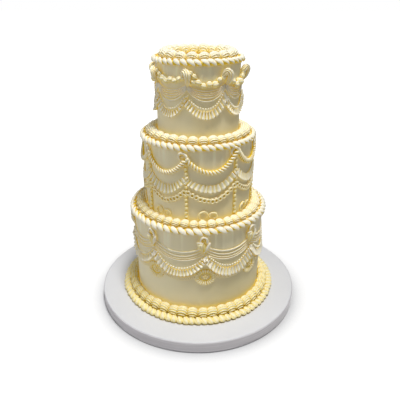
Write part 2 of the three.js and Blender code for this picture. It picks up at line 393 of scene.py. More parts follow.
def cream_material(name, settings, colours, depth, span, finish, bump, scraper_highlight=False):
    """Buttercream, with painted shade: deeper in colour where it is closed in, within span metres, and
    in its grooves, with a painted glow there, and darker and more saturated where a painted-shade
    mask says so. On a scraped wall the scraper's upright streaks are painted paler, as highlights."""
    settings["Subsurface Radius"] = (1.0, 0.9, 0.6)
    material, tree, shader, place = new_material(name, settings)
    open_ = node(tree, "AmbientOcclusion", {"Distance": span}, samples=8).outputs["AO"]
    groove = node(tree, "Attribute", attribute_name="groove").outputs["Fac"]
    hand = node(tree, "Group", {"Vector": place, **finish}, node_tree=HAND_FINISH).outputs
    links = {"Open": open_, "Groove": groove, **dict(zip(CREAM_COLOURS, colours)), **depth}
    cream = node(tree, "Group", links, node_tree=CREAM_SHADE).outputs
    paler = node(tree, "HueSaturation", {"Value": 1.05, "Color": cream["Color"]}).outputs["Color"]
    colour = mixed(tree, hand["Mottle"], cream["Color"], paler)
    if scraper_highlight:
        # painted highlight: the scraper's upright streaks are made paler, as if their facets caught the
        # light
        upright = node(tree, "Mapping", {"Vector": place, "Scale": (1, 1, 0.06)}).outputs["Vector"]
        streak = node(tree, "TexNoise", {"Vector": upright, "Scale": 90.0, "Detail": 1.0}).outputs["Fac"]
        streak = node(tree, "MapRange", {"Value": streak, "From Min": 0.52, "From Max": 0.68})
        mask = node(tree, "Attribute", attribute_name="scraper_highlight").outputs["Fac"]
        share = maths(tree, "MULTIPLY", streak.outputs["Result"], mask, clamp=True)
        bright = node(tree, "HueSaturation", {"Saturation": 0.9, "Value": 1.2, "Color": colour})
        colour = mixed(tree, share, colour, bright.outputs["Color"])
    # painted shade: darker, more saturated cream where its mask says so
    shaded_colour = node(tree, "HueSaturation", {"Saturation": 1.25, "Value": 0.8, "Color": colour})
    painted_shade = node(tree, "Attribute", attribute_name="painted_shade").outputs["Fac"]
    colour = mixed(tree, painted_shade, colour, shaded_colour.outputs["Color"])
    surface(tree, shader, colour, hand["Height"], bump, 0.0006)
    # painted glow from the closed-in places
    tree.links.new(cream["Painted Glow"], shader.inputs["Emission Color"])
    return material


def foil_material():
    """White foil on the board: a fine embossed grain and a soft sheen."""
    material, tree, shader, place = new_material("board_foil", {"Roughness": 0.42, "IOR": 1.45})
    grain = node(tree, "TexVoronoi", {"Vector": place, "Scale": 420.0}).outputs["Distance"]
    wear = node(tree, "TexNoise", {"Vector": place, "Scale": 9.0, "Detail": 4.0}).outputs["Fac"]
    colour = mixed(tree, wear, (0.645, 0.65, 0.667, 1), (0.71, 0.715, 0.737, 1))
    surface(tree, shader, colour, grain, 0.12, 0.0004)
    return material


def ribbon_material():
    """Silver satin: threads that run the ribbon's length, catching light in narrow streaks, partly by
    their roughness and partly as a painted sheen in their colour.
    """
    settings = {"Metallic": 0.2, "Sheen Weight": 0.3, "Sheen Roughness": 0.4}
    material, tree, shader, place = new_material("satin_ribbon", settings)
    lengthwise = node(tree, "Mapping", {"Vector": place, "Scale": (1.0, 1.0, 40.0)}).outputs["Vector"]
    noise = {"Vector": lengthwise, "Scale": 8.0, "Detail": 5.0, "Roughness": 0.6}
    thread_and_sheen = node(tree, "TexNoise", noise).outputs["Fac"]
    # the colour mixes the weave with a painted sheen: lighter lengthwise streaks
    colour = mixed(tree, thread_and_sheen, (0.38, 0.36, 0.38, 1), (0.95, 0.92, 0.93, 1))
    surface(tree, shader, colour, thread_and_sheen, 0.25, 0.0003)
    rough = node(tree, "MapRange", {"Value": thread_and_sheen, "To Min": 0.28, "To Max": 0.5})
    tree.links.new(rough.outputs["Result"], shader.inputs["Roughness"])
    return material


CREAM_SHADE = cream_shade_group()
HAND_FINISH = hand_finish_group()
# For both creams, Butter and Gold are painted shade for closed-in places and grooves, and the emission
# strength gives them a painted glow.
PIPED_CREAM = cream_material(
    "piped_buttercream",
    {"Roughness": 0.55, "Subsurface Weight": 0.12, "Subsurface Scale": 0.0015, "Emission Strength": 0.1},
    colours=((0.925, 0.865, 0.69, 1), (0.93, 0.79, 0.33, 1), (0.73, 0.52, 0.022, 1)),
    depth={"From": 0.25, "To": 0.75, "Groove Share": 0.6},
    span=0.005,
    finish={"Roll": 160.0, "Pores": 1500.0},
    bump=0.12,
)
SMOOTH_CREAM = cream_material(
    "smooth_buttercream",
    {"Roughness": 0.5, "Subsurface Weight": 0.2, "Subsurface Scale": 0.002, "Emission Strength": 0.3},
    colours=((0.935, 0.84, 0.56, 1), (0.97, 0.84, 0.42, 1), (0.95, 0.79, 0.27, 1)),
    depth={"From": 0.32, "To": 1.05, "Groove Share": 0.0},
    span=0.015,
    finish={"Roll": 30.0, "Pores": 500.0},
    bump=0.08,
    scraper_highlight=True,
)
BOARD_FOIL = foil_material()
SATIN = ribbon_material()


# ---- board and tiers ----


NEAR_AXIS = 0.5  # where a turned profile starts and ends, so that its middle is one flat cap


def turned(profile, segments, unevenness=0.0):
    """A solid of revolution: profile points (radius, z) from the axis below to the axis above, the
    radius varied by an array (segment, point)."""
    azimuth = full_turn(segments)[:, None]
    radius, z = np.asarray(profile).T
    points = around(azimuth, radius + unevenness, z)
    rows = points.transpose(1, 0, 2)[None]
    return grid_skin(rows, 0.0, closed=False)


def rounded(start, corner, end, radius):
    """Points round a corner of a profile: a quadratic curve that leaves each side at the radius."""
    start, corner, end = (np.asarray(point, dtype=float) for point in (start, corner, end))
    before = corner + radius * unit(start - corner)
    after = corner + radius * unit(end - corner)
    return bend(np.linspace(0, 1, 5), before, corner, after)


def make_board():
    """The drum board: a flat disc, its upper and lower edges rounded over."""
    low, high = corners_of("cake_drum")
    radius, bottom, top = high[0], low[2], high[2]
    profile = np.concatenate(
        [
            [(NEAR_AXIS, bottom)],
            rounded((NEAR_AXIS, bottom), (radius, bottom), (radius, top), 2.0),
            rounded((radius, bottom), (radius, top), (NEAR_AXIS, top), 1.6),
            np.column_stack([np.linspace(radius - 6, NEAR_AXIS, 12), np.full(12, top)]),
        ]
    )
    piece("cake_board", turned(profile, 256), BOARD_FOIL, "board_foil", "cake_drum")


def make_ribbon():
    """The satin ribbon: a thin band whose face bows and ripples a little, round the board's edge."""
    low, high = corners_of("drum_ribbon")
    inset, thickness, bow = 0.3, 0.6, 0.25
    foot, height = low[2] + 1.3, high[2] - low[2] - 1.5
    azimuth = full_turn(360)[:, None]
    share = np.linspace(0, 1, 9)
    ripple = 0.12 * np.sin(9 * azimuth + 3 * share) + 0.08 * np.sin(23 * azimuth - 5 * share)
    face = high[0] - inset + bow * np.sin(math.pi * share) + ripple
    z = foot + height * share
    outer = around(azimuth, face, z)
    inner = around(azimuth, high[0] - inset - thickness, z[::-1])
    skin = grid_skin(np.concatenate([outer, inner], axis=1)[None], 0.0, closed=True)
    piece("ribbon_band", skin, SATIN, "satin_ribbon", "drum_ribbon")


FULL_SHADE_RADIUS = 100  # radius of a tier whose wall has its whole painted shade, in millimetres


def make_tier(tier):
    """A smoothed tier: straight sides with a slow roll, and two masks. One is 1 under the rim, where
    the scraper's streaks start and are painted paler as highlights, and 0 from a third of the way
    down. The other is painted shade, darker and more saturated cream: it grows towards +X, towards
    the foot, and with the width of the tier."""
    rows, segments, shoulder = 28, 240, 4
    upwards = np.linspace(tier.base, tier.crest - shoulder, rows)
    side = np.column_stack([np.full(rows, tier.radius), upwards])
    top = np.column_stack([np.linspace(tier.radius - shoulder, NEAR_AXIS, 8), np.full(8, tier.crest)])
    profile = np.concatenate([[(NEAR_AXIS, tier.base)], side, top])
    azimuth = full_turn(segments)[:, None]
    down = (tier.crest - profile[:, 1]) / (tier.crest - tier.base)
    on_side = profile[:, 0] == tier.radius
    roll = 0.25 * np.sin(3 * azimuth + 4 * down + tier.radius) + 0.15 * np.sin(7 * azimuth - 6 * down)
    skin = turned(profile, segments, roll * on_side)
    name, solid = f"{tier.name}_smooth_tier", f"{tier.name}_tier"
    thing = piece(name, skin, SMOOTH_CREAM, "smooth_buttercream", solid)
    down, on_side = down[:, None], on_side[:, None]
    paint(thing, "scraper_highlight", np.clip(1 - 3 * down, 0, 1) * on_side * np.ones(segments))
    # painted shade on the wall: darker and more saturated towards +X, towards the foot and on wider tiers
    side_on = np.clip(0.4 + 0.85 * np.sin(azimuth.T), 0, 1) * (tier.radius / FULL_SHADE_RADIUS) ** 2
    paint(thing, "painted_shade", np.clip(side_on * (0.15 + 0.85 * down), 0, 1) * on_side)


# ---- borders ----


def shell_ring(count, radius, floor, half, height, depth, tint, rows=17, behind=0.0):
    """Shells side by side on a ledge. Each is a teardrop laid along the ring, its height and width
    following the same curve. The nozzle's ridges run its length, deepest low down on its sides.
    The ring may grow in height by a share towards the back."""
    length, ridges = 1.18, 15  # a shell's length is in steps from one to the next
    share = steps(rows)
    profile = teardrop(share, head=0.42, tail=0.22)
    start = ring_places(count, 0.07)
    size = 1 + jitter((count, 1), 0.06)
    tall = height * size * (1 - behind * np.cos(start)) * profile
    azimuth = start + length * TURN / count * share
    wander = radius + jitter((count, 1), 0.5)
    path = around(azimuth, wander, floor + 0.42 * tall)
    wide = half * size * profile**0.95
    angle = section(3 * ridges + 1, hidden=4)
    ridge_depth = depth * np.clip(1.45 - np.sin(angle), 0.6, 1.1)
    return pipe(path, UPWARD, wide, 0.58 * tall, angle, ridges, ridge_depth, 0.12, 1.3, tint=tint)


def shaded_flank(angle, turn):
    """Painted shade, 1 round the side of a stroke that lies on its neighbour, falling to 0 on the
    rest of it.
    """
    return np.clip(2.2 * np.cos(angle + turn) - 1.1, 0, 1)


def rope_ring(tier, count):
    """Slanted strokes over a tier's top edge: each is a flat leaf that starts on the ledge and runs
    down to the right over the edge, one beside the other. Their lower flanks, the cord that they lie
    on and a flat strip along their inner ends are painted in shade."""
    share = steps(18)
    pitch = TURN * tier.radius / count
    start = ring_places(count, 0.08)
    size = 1 + jitter((count, 1), 0.09)
    # the leaf's run to the right, out from the edge and up from the ledge, in pitches
    first, middle, last = np.array([[-0.66, -0.14, 0.3], [-0.05, 0.56, 0.4], [0.5, 0.38, -0.42]])
    across, out, rise = (pitch * bend(share, first, middle, last)).T
    path = around(
        start + across * size / tier.radius,
        tier.radius + out + jitter((count, 1), 0.4),
        tier.crest + rise * size,
    )
    up = unit(outward(start) + 0.8 * UPWARD)
    widest = 0.32 * pitch
    half = widest * size * np.clip(1 - np.abs(2 * share - 1) ** 2.4, 0.001, 1) ** 0.75
    angle = section(16)
    strokes = pipe(path, up, half, 0.55 * half, angle, tint=1.5 * shaded_flank(angle, 0.5) - 0.5)
    azimuth = full_turn(160)[None]
    cord = around(azimuth, tier.radius + 0.6, tier.crest - 1.0)
    strip = around(azimuth, tier.radius - 5.5, tier.crest + 0.4)
    return join(
        strokes,
        pipe(cord, outward(azimuth), widest, 4.0, section(10), closed=True, tint=1.5),
        pipe(strip, UPWARD, 2.4, 1.0, section(8), closed=True, tint=0.55),
    )


def border(name, solid, middle_shade, rise, skin):
    """A ring with painted shade, darker and more saturated cream. Its share is as given in the middle,
    and by a rise more at +X.
    """
    thing = piped(name, skin, solid)
    side_on = skin.points[:, 0] / np.abs(skin.points[:, :2]).max()
    paint(thing, "painted_shade", np.clip(middle_shade + rise * side_on, 0, 1))


def stroke_ring(count, inner, outer, floor, half, height, tint):
    """The outer row on the board: short pillows side by side, full and rounded at their outer ends,
    drawn in and up to a narrower end that leans on the shells."""
    share = steps(12)
    start = ring_places(count, 0.06)
    radius = outer + (inner - outer) * share + jitter((count, 1), 0.5)
    size = 1 + jitter((count, 1), 0.07)
    pillow = size * np.clip(1 - np.abs(2 * share - 1) ** 4, 0.001, 1) ** 0.4
    lean = jitter((count, 1), 1.5) - 6.0
    rise = 3.0 * share**1.5
    path = around(start + lean * (share - 0.5) / inner, radius, floor + 0.45 * height * pillow + rise)
    wide = half * pillow * (1 - 0.32 * share**1.5)
    return pipe(path, UPWARD, wide, 0.55 * height * pillow, section(20), points=5, depth=0.16, tint=tint)


# ---- wall piping ----


def ruffle(tier, flutes, head, hem, flare, lean, tint=-0.4):
    """A frill hung along each bay between two swags. It is gathered into flutes of uneven width: a
    flute is the sine of its share of the width, leaning to the right, to a power that falls towards
    the hem, so that it starts in a point above and is full below, where it also stands off
    furthest. Its upper edge dips between flutes, and a low roll runs just above its hem. The hem is
    carried sideways as the swag steepens, so that the flutes stand square to it."""
    share = np.linspace(0, 1, flutes * 12 + 1)
    widths = np.cumsum(1 + jitter((BAYS, flutes), 0.2), axis=1)
    edges = np.concatenate([np.zeros((BAYS, 1)), widths / widths[:, -1:]], axis=1)
    phase = np.stack([np.interp(share, bay, np.arange(flutes + 1)) for bay in edges])
    ridge = np.sin(math.pi * (phase % 1) ** 1.2)[..., None]
    fullness = 1 + jitter((BAYS, flutes), 0.18)
    number = np.minimum(phase.astype(int), flutes - 1)
    fullness = np.take_along_axis(fullness, number, axis=1)[..., None]
    swing = 2 * share - 1
    hem_share = share + lean * swing * (1 - 0.6 * swing**2) / tier.widths
    droop = jitter((BAYS, 1), 1.0) * 4 * share * (1 - share)
    dip = 3.6 * (1 - ridge)
    top = (swag(share, head) + droop)[..., None] - dip
    bottom = (swag(hem_share, hem) + droop)[..., None]
    bottom = bottom - 0.12 * (top - bottom) * (ridge**0.7 - 0.6)
    down = np.linspace(0, 1, 12)
    fold = ridge ** (1.7 - 1.05 * down)
    roll = 0.7 * np.exp(-(((down - 0.88) / 0.12) ** 2))
    off = 0.6 + flare * (0.06 + 0.28 * down + fullness * fold * (0.32 + 0.18 * down))
    off = off + fullness * fold * roll
    at = share[:, None] + (hem_share - share)[..., None] * down
    azimuth = tier.bay_azimuth(at.reshape(BAYS, -1)).reshape(at.shape)
    face = around(azimuth, tier.radius + off, tier.base + top + (bottom - top) * down)
    behind = slice(-2, None, -4)  # a few points back up along the wall close the section
    back = around(azimuth[..., behind], tier.radius - 0.6, tier.base + top + (bottom - top) * down[behind])
    # painted shade in the valleys between flutes, less towards the hem
    shade = 0.7 * np.clip(1 - fold, 0, 1) + tint - 0.1 * down
    groove = np.concatenate([shade, np.zeros(back.shape[:3])], axis=2)
    return grid_skin(np.concatenate([face, back], axis=2), groove, closed=False)


def even_places(tier, line, count, reach=(0, 1)):
    """Azimuth, height and slope (bay, place) at places that lie evenly along the swag of each bay."""
    fine = np.linspace(*reach, 160)
    across = np.diff(fine) * tier.widths
    rise = np.diff(swag(fine, line), axis=1)
    run = np.pad(np.cumsum(np.hypot(across, rise), axis=1), ((0, 0), (1, 0)))
    places = (np.arange(count) + 0.5) / count
    share = np.stack([np.interp(places * bay[-1], bay, fine) for bay in run])
    step = 0.005
    rise = swag(share + step, line) - swag(share - step, line)
    return tier.bay_azimuth(share), swag(share, line), np.arctan2(rise, 2 * step * tier.widths)


def bay_lines(tier, line, off, thick, tint, rows=28, wide=None, reach=(0, 1)):
    """A thin string, or a wider strip, along every bay, from anchor to anchor."""
    share = np.linspace(*reach, rows)
    azimuth = tier.bay_azimuth(share)
    height = swag(share, line) + jitter((BAYS, 1), 0.6) * 4 * share * (1 - share)
    path = around(azimuth, tier.radius + off, tier.base + height)
    return pipe(path, outward(azimuth), wide or thick, thick, section(6), tint=tint)


def beads(azimuth, radius, z, long, thick, tilt=0.0, tint=0.0):
    """Round beads at the given places, each a short ellipse lying along the wall."""
    azimuth, radius, z, long, thick, tilt = columns(azimuth, radius, z, long, thick, tilt)
    share = steps(7)
    run = (share - 0.5) * 2 * long
    path = around(azimuth + run * np.cos(tilt) / radius, radius, z + run * np.sin(tilt))
    bulge = thick * np.sqrt(np.clip(4 * share * (1 - share), 0.004, 1))
    return pipe(path, outward(azimuth), bulge, bulge, section(8), tint=tint)


def swag_beads(tier, line, count, off, size, reach, vary=0.1):
    """Beads set one by one along each bay, level with the swag."""
    azimuth, height, _ = even_places(tier, line, count, reach)
    azimuth = azimuth + jitter((BAYS, count), vary * size / tier.radius)
    z = tier.base + height + jitter((BAYS, count), vary * size * 0.5)
    sizes = size * (1 + jitter((BAYS, count), vary))
    return beads(azimuth, tier.radius + off, z, sizes * 0.88, sizes, tint=-2.2)


def drops(
    tier, azimuth, height, length, half, off, lean, rows, across, points=0, depth=0.0,
    head=0.4, tail=0.2, tint=0.0,
):
    """Teardrops on the wall, head first, each running down from its place, leaning by an angle."""
    azimuth, height, lean, length, half = columns(azimuth, height, lean, length, half)
    share = steps(rows)
    run = length * share
    path = around(
        azimuth + run * np.sin(lean) / tier.radius,
        tier.radius + off * (1 - 0.5 * share),
        tier.base + height - run * np.cos(lean),
    )
    thick = half * teardrop(share, head, tail)
    return pipe(path, outward(azimuth), thick, thick, section(across), points, depth, tint=tint)


def loops(tier, azimuth, height, radius, thick, off, tint):
    """Small closed rings of icing lying on the wall."""
    azimuth, height, radius = columns(azimuth, height, radius)
    angle = full_turn(14)
    path = around(
        azimuth + radius * np.cos(angle) / tier.radius,
        tier.radius + off,
        tier.base + height + radius * np.sin(angle),
    )
    return pipe(path, outward(azimuth), thick, thick, section(6), closed=True, tint=tint)


def scroll(tier, azimuth, height, controls, thick, off, rows, across=10, tint=0.0):
    """A scroll on the wall at each azimuth: a smooth curve through controls (to the right, up) in
    millimetres, its thickness and stand-off read between the values given along it."""
    share = np.linspace(0, 1, rows)
    right, rise = through(controls, share)
    thickness = np.interp(share, np.linspace(0, 1, len(thick)), thick)
    stand = np.interp(share, np.linspace(0, 1, len(off)), off)
    azimuth = np.asarray(azimuth)[:, None]
    vary = 1 + jitter((len(azimuth), 1), 0.06)
    bearing = azimuth + right * vary / tier.radius
    path = around(bearing, tier.radius + stand, tier.base + height + rise * vary)
    swell = thickness * np.sqrt(np.clip(np.minimum(share, 1 - share) / 0.07, 0.04, 1))
    return pipe(path, outward(azimuth), swell, swell, section(across), tint=tint)


def through(controls, share):
    """A smooth curve that passes through its controls: each span is the cubic set by its two ends
    and the control beyond each of them."""
    controls = np.asarray(controls, dtype=float)
    ends = np.concatenate([2 * controls[:1] - controls[1:2], controls, 2 * controls[-1:] - controls[-2:-1]])
    place = share * (len(controls) - 1)
    span = np.minimum(place.astype(int), len(controls) - 2)
    t = (place - span)[:, None]
    p0, p1, p2, p3 = (ends[span + i] for i in range(4))
    cubic = 2 * p1 + (p2 - p0) * t + (2 * p0 - 5 * p1 + 4 * p2 - p3) * t**2
    return (0.5 * (cubic + (3 * p1 - p0 - 3 * p2 + p3) * t**3)).T


# ---- top tier ----


def garland_shells(tier, line, count, off, length, half):
    """A chain of small plump shells along each bay, each tucked behind the last and set a little
    above or below the swag in turn."""
    azimuth, height, slope = even_places(tier, line, count)
    zigzag = 1.3 * (-1.0) ** np.arange(count) + jitter((BAYS, count), 1.2)
    turn = slope + jitter((BAYS, count), 0.25)
    azimuth = azimuth - 0.45 * length * np.cos(turn) / tier.radius
    height = height - 0.45 * length * np.sin(turn) + zigzag
    size = 1 + jitter((BAYS, count), 0.18)
    lean = turn + math.pi / 2
    return drops(tier, azimuth, height, length * size, half * size, off, lean, 12, 24, points=6, depth=0.2)


def wall_puffs(tier):
    """A puff at each anchor: the nozzle leaves the wall, arches up, away from it and a little to
    the right, and is drawn back down to a tail. Its ridges follow it, so that they nest as arches.
    Two small shells lean on its right side."""
    foot = 109
    share = np.linspace(0, 1, 34)
    bow = [(-3.6, -3, 2.4), (-3.8, 5, 4.6), (-0.8, 9.4, 8.4), (2.6, 5.4, 11), (2.8, -4, 8.8), (1, -14, 2.8)]
    across, rise, off = through(bow, share)
    bulge = np.interp(share, [0, 0.2, 0.42, 0.62, 0.85, 1], [3.2, 5.0, 5.9, 5.5, 3.8, 1.3])
    ends = np.sqrt(np.clip(np.minimum(share, 1 - share) / 0.05, 0.03, 1))
    size = 1 + jitter((BAYS, 1), 0.06)
    azimuth = tier.anchors[:, None] + across * size / tier.radius
    path = around(azimuth, tier.radius + off, tier.base + foot + rise * size)
    swell = bulge * ends * size
    side = np.cross(outward(tier.anchors + 0.6), UPWARD)
    up = np.cross(side[:, None], np.gradient(path, axis=1))
    puff = pipe(path, up, swell, swell, section(66), points=9, depth=0.38, sharp=1.1, tint=-0.5)
    upper = drops(tier, tier.beside(4), foot + 10.5, 10, 4.4, 7.0, 0.8, 14, 28, points=6, depth=0.3)
    lower = drops(tier, tier.beside(8.5), foot + 5.5, 11, 4.6, 5.0, 0.9, 12, 24, points=6, depth=0.26)
    return join(puff, upper, lower)


def dress_top(tier):
    """The top wall: a garland of shells hung from puffs, and strings over a ruffle with pearls along
    its head."""
    line = (113, by_bay(98.5, {0: 104, 2: 96}), 2.2)
    garland = garland_shells(tier, line, count=8, off=3.8, length=13.0, half=5.6)
    piped("bead_garland", garland, "top_bead_garland")
    piped("wall_puffs", wall_puffs(tier), *tier.ornaments)
    line = (by_bay((87, 87), {1: (81, 94)}), by_bay(58, {1: 59.8, 2: 55.3}), 2.3)
    hem = (by_bay((63, 64), {0: (63, 75), 1: (61, 67)}), by_bay(42.3, {2: 41}), 2.1)
    frill = ruffle(tier, 15, raised(line, -4), hem, flare=7.4, lean=10.0, tint=-0.2)
    piped("top_ruffle", frill, "top_ruffle_swags")
    hung = ((98, 88.3), (97, 84.6), (95.5, 80.6), (94, 76.2), (92, 71))
    strings = [bay_lines(tier, (high, sag, 2.2), 1.9, 1.05, tint=-0.9) for high, sag in hung]
    piped("top_strings", join(*strings))
    pearls = swag_beads(tier, raised(line, -0.6), 18, off=3.6, size=1.6, reach=(0.06, 0.95))
    piped("top_pearls", pearls)


# ---- middle tier ----


def rope_garland(tier, count):
    """The garland of the middle tier: strands laid over a cord, each half way round it and a little
    along, so that they read as a twisted rope. The grooves between them, the cord and the strands'
    lower flanks are painted in shade."""
    ends = by_bay((122, 122), {0: (124, 123), 1: (126, 134), 2: (137, 128)})
    line = (ends, by_bay(101.5, {0: 96.5, 1: 99.7, 2: 105}), 2.1)
    azimuth, height, slope = (value[..., None] for value in even_places(tier, line, count))
    wrap = math.pi * np.linspace(0.06, 0.94, 10)
    above = 3.9 * np.cos(wrap)
    onward = 8.5 * (wrap / math.pi - 0.5)
    across = onward * np.cos(slope) - above * np.sin(slope)
    rise = onward * np.sin(slope) + above * np.cos(slope)
    off = 2.2 + 3.8 * np.sin(wrap)
    path = around(azimuth + across / tier.radius, tier.radius + off, tier.base + height + rise)
    path = path.reshape(-1, len(wrap), 3)
    up = outward(azimuth) * np.sin(wrap)[:, None] + UPWARD * np.cos(wrap)[:, None]
    thick = 1.9 * np.clip(1 - np.abs(np.linspace(-1, 1, len(wrap))) ** 4, 0.01, 1) ** 0.5
    angle = section(10)
    tint = 1.6 * shaded_flank(angle, 0.4) + 0.1
    strands = pipe(path, up.reshape(path.shape), thick, thick, angle, tint=tint)
    fine = np.linspace(0, 1, 40)
    azimuth = tier.bay_azimuth(fine)
    cord = around(azimuth, tier.radius + 2.0, tier.base + swag(fine, line))
    return join(strands, pipe(cord, outward(azimuth), 3.6, 3.5, section(10), tint=1.2))


def rosettes(tier):
    """An open ring curled up at each anchor over a low mound, with a knot where its end meets the
    garland."""
    ring = [(2, -6.5), (-4.5, -9), (-10.5, -5), (-12.5, 1.5), (-9, 6.8), (-3.5, 7.2), (0.5, 4), (2.5, -1.5)]
    thick, off = (0.9, 1.3, 1.9, 2.4, 2.2, 2.4, 2.6), (1.0, 2.5, 4.0, 5.0)
    height = by_bay(128.0, {2: 133.0})
    curl = scroll(tier, tier.anchors, height[:, None], ring, thick, off, rows=40)
    mound = beads(tier.beside(-5), tier.radius + 0.2, tier.base + height - 0.4, 5.8, 2.0)
    knot = drops(tier, tier.beside(1.5), height, 10, 4.0, 5.0, 0.55, 12, 16, points=6, depth=0.2)
    return join(curl, mound, knot)


def middle_lace(tier, count):
    """A row of small rings along each bay, on a strip that is painted shade, and with a string above."""
    line = (by_bay((66, 66), {1: (65, 72), 2: (73, 66)}), by_bay(46, {0: 43.2, 2: 52}), 1.7)
    share = (np.arange(count) + 0.5) / count
    height = swag(share, line) + jitter((BAYS, count), 0.4)
    sizes = 3.6 + jitter((BAYS, count), 0.25)
    rings = loops(tier, tier.bay_azimuth(share), height, sizes, thick=1.75, off=3.2, tint=0.3)
    string = bay_lines(tier, raised(line, 5.2), off=1.2, thick=1.1, tint=-0.6)
    strip = bay_lines(tier, line, off=1.4, thick=1.0, tint=0.3, wide=3.0)
    return join(rings, string, strip)


def bead_chains(tier, count):
    """An upright chain of drops below each anchor, on a strip that is painted shade."""
    top, foot, pitch = 118, 6, 8.2
    anchors = tier.anchors[:, None]
    place = anchors + jitter((BAYS, count), 0.3) / tier.radius
    height = top - pitch * np.arange(count) + jitter((BAYS, count), 0.4)
    lean = jitter((BAYS, count), 0.1)
    links = drops(tier, place, height, 9.4, 2.9, 3.4, lean, 12, 12, tail=0.15, tint=0.5)
    strip = around(anchors, tier.radius + 0.6, tier.base + np.linspace(top, foot, 30))
    return join(links, pipe(strip, outward(anchors), 2.7, 1.1, section(8), tint=0.9))


def foot_scrolls(tier):
    """Two thin open loops side by side at the foot of each bay, the left one larger."""
    middles = tier.bay_azimuth(0.5)[:, 0]
    left = [(2, -7), (-3.5, -8), (-7.3, -3), (-6, 4), (0.5, 7.6), (6, 4.6), (7, -1), (4.5, -5.5)]
    right = [(-3.5, -5.5), (-6.2, -1), (-4.2, 4.2), (1, 5.6), (5.8, 3), (6.4, -2), (3, -5.5), (0.5, -3)]
    thick, off = (0.9, 1.5, 1.8, 1.5, 1), (1, 2, 1)
    pair = []
    for across, height, loop in ((-15.5, 18.3, left), (1.5, 17.2, right)):
        place = middles + across / tier.radius
        pair.append(scroll(tier, place, height, loop, thick, off, rows=34, across=8, tint=0.4))
    return join(*pair)


def dress_middle(tier):
    """The middle wall: a rope garland hung from rosettes, a ruffle and a lace below it, chains of
    drops that cross them, and thin scrolls at the foot."""
    piped("rope_garland", rope_garland(tier, 19), "middle_rope_garland")
    piped("rosettes", rosettes(tier), *tier.ornaments)
    head = (by_bay((98, 98), {1: (91, 104), 2: (110, 98)}), by_bay(75, {1: 76.1, 2: 81}), 1.9)
    hem_ends = by_bay((80, 80), {0: (80, 86), 1: (79, 89), 2: (88, 80)})
    hem = (hem_ends, by_bay(60.5, {0: 57.5, 1: 62.5, 2: 67}), 2.0)
    frill = ruffle(tier, 14, head, hem, flare=5.8, lean=12.0, tint=0.0)
    piped("middle_ruffle", frill, "middle_ruffle_and_columns")
    piped("middle_lace", middle_lace(tier, 13), "middle_ruffle_and_columns")
    piped("bead_chains", bead_chains(tier, 14), "middle_ruffle_and_columns")
    piped("foot_scrolls", foot_scrolls(tier))


# ---- bottom tier ----


def fleurs(tier):
    """A fleur at each anchor: an open loop on top, a broad ridged petal to the left and a slender
    one to the right, drawn together in a tail below."""
    loop = [(-5.6, -7), (-6.4, 1.5), (-2, 7), (3.6, 5.6), (5.6, 0), (6.5, -7.5)]
    thin = (1.2, 1.8, 2.1, 2.2, 2)
    top = scroll(tier, tier.beside(-3), 167, loop, thin, (4.0, 6.0, 6.4, 5.0), 28, 10, -0.6)
    heart = beads(tier.beside(-3), tier.radius + 0.4, tier.base + 166, 5.0, 4.2, tint=0.7)
    broad = drops(tier, tier.beside(-10), 162, 26, 6.2, 3.8, 0.22, 20, 36, 9, 0.22, head=0.12, tail=0.1)
    lip = [(-15.6, 0.4), (-13, 1.4), (-9.5, 1.6), (-6, 0.8), (-4, -0.6)]
    rim = scroll(tier, tier.anchors, 161.2, lip, (1.2, 1.7, 1.4), (4.6, 6.4, 5.2), 14, 8, -1.0)
    middle = drops(tier, tier.beside(-3), 161, 25, 4.6, 3.0, 0.1, 16, 20, 6, 0.2, tint=0.6)
    slender = drops(tier, tier.beside(7.5), 163, 26, 3.4, 6.0, -0.42, 18, 24, 6, 0.2, tail=0.3, tint=-0.7)
    return join(top, heart, broad, rim, middle, slender)


def pendants(tier, centre, half, tall):
    """An oval of lace under each anchor: a broad band of drops, their heads outside, on strips that
    are painted shade, with a small flower in the opening."""
    anchors = tier.anchors[:, None]
    count = 22
    angle = TURN * (np.arange(count) + 0.5 + jitter((BAYS, count), 0.12)) / count
    place = anchors + half * np.cos(angle) / tier.radius
    height = centre + tall * np.sin(angle)
    inward = np.arctan2(-half * np.cos(angle), tall * np.sin(angle))
    length = 9.5 + jitter((BAYS, count), 0.6)
    petals = drops(tier, place, height, length, 2.3, 2.0, inward, 9, 8, head=0.3, tail=0.35, tint=0.3)
    turn = full_turn(48)
    bands = []
    for inset, wide, tint in ((4.6, 4.4, 1.3), (9.0, 1.5, 1.5)):
        across, rise = (half - inset) * np.cos(turn), (tall - inset) * np.sin(turn)
        strip = around(anchors + across / tier.radius, tier.radius + 0.5, tier.base + centre + rise)
        bands.append(pipe(strip, outward(anchors), wide, 0.9, section(8), closed=True, tint=tint))
    flower = TURN * np.arange(5) / 5 + 0.3
    place = anchors + 3.2 * np.cos(flower) / tier.radius
    height = tier.base + centre + 3.0 * np.sin(flower)
    blooms = beads(place, tier.radius + 1.2, height, 2.4, 1.9, flower, tint=0.4)
    return join(petals, *bands, blooms)


def bottom_lace(tier, count):
    """A row of small rings below the ruffle, on a strip that is painted shade, clear of the pendants."""
    line, reach = (101, 81.5, 2.2), (0.17, 0.83)
    share = np.linspace(*reach, count)
    height = swag(share, line) + jitter((BAYS, count), 0.4)
    rings = loops(tier, tier.bay_azimuth(share), height, 2.7, thick=1.0, off=2.0, tint=0.2)
    return join(rings, bay_lines(tier, line, off=0.5, thick=0.9, tint=0.5, wide=2.6, reach=reach))


